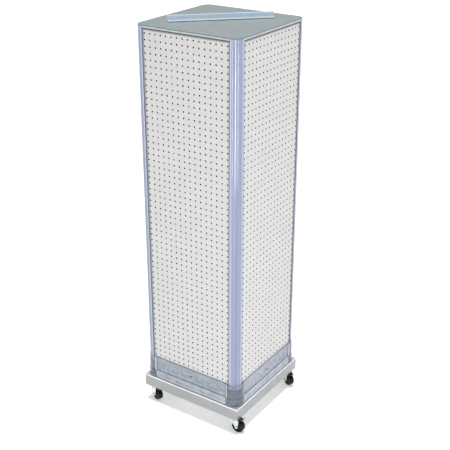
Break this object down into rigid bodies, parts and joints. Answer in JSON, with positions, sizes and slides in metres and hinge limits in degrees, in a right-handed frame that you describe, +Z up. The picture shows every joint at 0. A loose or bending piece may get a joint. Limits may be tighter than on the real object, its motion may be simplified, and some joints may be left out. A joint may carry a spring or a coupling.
{
  "type": "pegboard display tower",
  "caption": "Square floor display tower with pegboard on every side and a diagonal sign channel on top, turning on a low metal dolly with braked swivel casters.",
  "frame": {"origin": "on the floor, where the tower's turning axis meets it", "axes": "+Z up along the turning axis, -Y out of the front panel, +X out of the right panel"},
  "size_m": [0.5296, 0.4952, 1.7275],
  "materials": {
    "panel_white": "satin moulded white with a very fine grain",
    "clear_post": "clear extruded plastic with a blue tint",
    "clear_base": "translucent moulded plastic, grey blue",
    "clear_lid": "translucent moulded plastic, grey green, satin",
    "clear_sign": "clear extruded plastic, light blue",
    "pan_metal": "folded sheet with faint brushed streaks",
    "zinc": "bright zinc plate",
    "ball_steel": "polished",
    "wheel_black": "hard black rubber, semi gloss",
    "brake_black": "black",
    "screw": "dark plated"
  },
  "bodies": {
    "dolly": {"dolly_pan": "pan_metal", "caster_plate_front_right": "zinc", "caster_plate_rear_right": "zinc", "caster_plate_rear_left": "zinc", "caster_plate_front_left": "zinc", "caster_kingpin_front_right": "zinc", "caster_kingpin_rear_right": "zinc", "caster_kingpin_rear_left": "zinc", "caster_kingpin_front_left": "zinc", "bearing_lower_plate": "zinc"},
    "ball_ring": {"bearing_ball_ring": "ball_steel"},
    "tower": {"bearing_upper_plate": "zinc", "base_tray": "clear_base", "tray_screw_front": "screw", "tray_screw_right": "screw", "tray_screw_rear": "screw", "tray_screw_left": "screw", "corner_post_front_right": "clear_post", "corner_post_rear_right": "clear_post", "corner_post_rear_left": "clear_post", "corner_post_front_left": "clear_post", "peg_panel_front": "panel_white", "peg_panel_right": "panel_white", "peg_panel_rear": "panel_white", "peg_panel_left": "panel_white", "lid": "clear_lid", "sign_holder": "clear_sign"},
    "swivel_front_right": {"caster_fork_front_right": "zinc", "caster_axle_front_right": "zinc", "caster_nut_front_right": "zinc", "caster_bushing_front_right": "zinc", "caster_brake_pin_front_right": "zinc"},
    "wheel_front_right": {"caster_wheel_front_right": "wheel_black"},
    "brake_front_right": {"caster_brake_front_right": "brake_black"},
    "swivel_rear_right": {"caster_fork_rear_right": "zinc", "caster_axle_rear_right": "zinc", "caster_nut_rear_right": "zinc", "caster_bushing_rear_right": "zinc", "caster_brake_pin_rear_right": "zinc"},
    "wheel_rear_right": {"caster_wheel_rear_right": "wheel_black"},
    "brake_rear_right": {"caster_brake_rear_right": "brake_black"},
    "swivel_rear_left": {"caster_fork_rear_left": "zinc", "caster_axle_rear_left": "zinc", "caster_nut_rear_left": "zinc", "caster_bushing_rear_left": "zinc", "caster_brake_pin_rear_left": "zinc"},
    "wheel_rear_left": {"caster_wheel_rear_left": "wheel_black"},
    "brake_rear_left": {"caster_brake_rear_left": "brake_black"},
    "swivel_front_left": {"caster_fork_front_left": "zinc", "caster_axle_front_left": "zinc", "caster_nut_front_left": "zinc", "caster_bushing_front_left": "zinc", "caster_brake_pin_front_left": "zinc"},
    "wheel_front_left": {"caster_wheel_front_left": "wheel_black"},
    "brake_front_left": {"caster_brake_front_left": "brake_black"}
  },
  "joints": [
    {"name": "tower_turn", "type": "hinge", "parent": "dolly", "child": "tower", "pos_m": [0, 0, 0.13462], "axis": [0, 0, 1], "continuous": true},
    {"name": "ball_ring_turn", "type": "hinge", "parent": "dolly", "child": "ball_ring", "pos_m": [0, 0, 0.13462], "axis": [0, 0, 1], "continuous": true},
    {"name": "caster_swivel_front_right", "type": "hinge", "parent": "dolly", "child": "swivel_front_right", "pos_m": [0.21717, -0.21717, 0.0635], "axis": [0, 0, 1], "continuous": true},
    {"name": "wheel_spin_front_right", "type": "hinge", "parent": "swivel_front_right", "child": "wheel_front_right", "pos_m": [0.23622, -0.21717, 0.02857], "axis": [0, 1, 0], "continuous": true},
    {"name": "brake_pedal_front_right", "type": "hinge", "parent": "swivel_front_right", "child": "brake_front_right", "pos_m": [0.24155, -0.21717, 0.06121], "axis": [0, 1, 0], "range_deg": [0, 18]},
    {"name": "caster_swivel_rear_right", "type": "hinge", "parent": "dolly", "child": "swivel_rear_right", "pos_m": [0.21717, 0.21717, 0.0635], "axis": [0, 0, 1], "continuous": true},
    {"name": "wheel_spin_rear_right", "type": "hinge", "parent": "swivel_rear_right", "child": "wheel_rear_right", "pos_m": [0.23444, 0.20912, 0.02857], "axis": [0.4226, 0.9063, 0], "continuous": true},
    {"name": "brake_pedal_rear_right", "type": "hinge", "parent": "swivel_rear_right", "child": "brake_rear_right", "pos_m": [0.23927, 0.20686, 0.06121], "axis": [0.4226, 0.9063, 0], "range_deg": [-18, 0]},
    {"name": "caster_swivel_rear_left", "type": "hinge", "parent": "dolly", "child": "swivel_rear_left", "pos_m": [-0.21717, 0.21717, 0.0635], "axis": [0, 0, 1], "continuous": true},
    {"name": "wheel_spin_rear_left", "type": "hinge", "parent": "swivel_rear_left", "child": "wheel_rear_left", "pos_m": [-0.23622, 0.21717, 0.02857], "axis": [0, -1, 0], "continuous": true},
    {"name": "brake_pedal_rear_left", "type": "hinge", "parent": "swivel_rear_left", "child": "brake_rear_left", "pos_m": [-0.24155, 0.21717, 0.06121], "axis": [0, -1, 0], "range_deg": [-18, 0]},
    {"name": "caster_swivel_front_left", "type": "hinge", "parent": "dolly", "child": "swivel_front_left", "pos_m": [-0.21717, -0.21717, 0.0635], "axis": [0, 0, 1], "continuous": true},
    {"name": "wheel_spin_front_left", "type": "hinge", "parent": "swivel_front_left", "child": "wheel_front_left", "pos_m": [-0.19927, -0.22368, 0.02857], "axis": [0.342, 0.9397, 0], "continuous": true},
    {"name": "brake_pedal_front_left", "type": "hinge", "parent": "swivel_front_left", "child": "brake_front_left", "pos_m": [-0.19426, -0.22551, 0.06121], "axis": [0.342, 0.9397, 0], "range_deg": [-18, 0]}
  ],
  "couplings": [
    {"joint": "ball_ring_turn", "follows": "tower_turn", "ratio": 0.5}
  ]
}
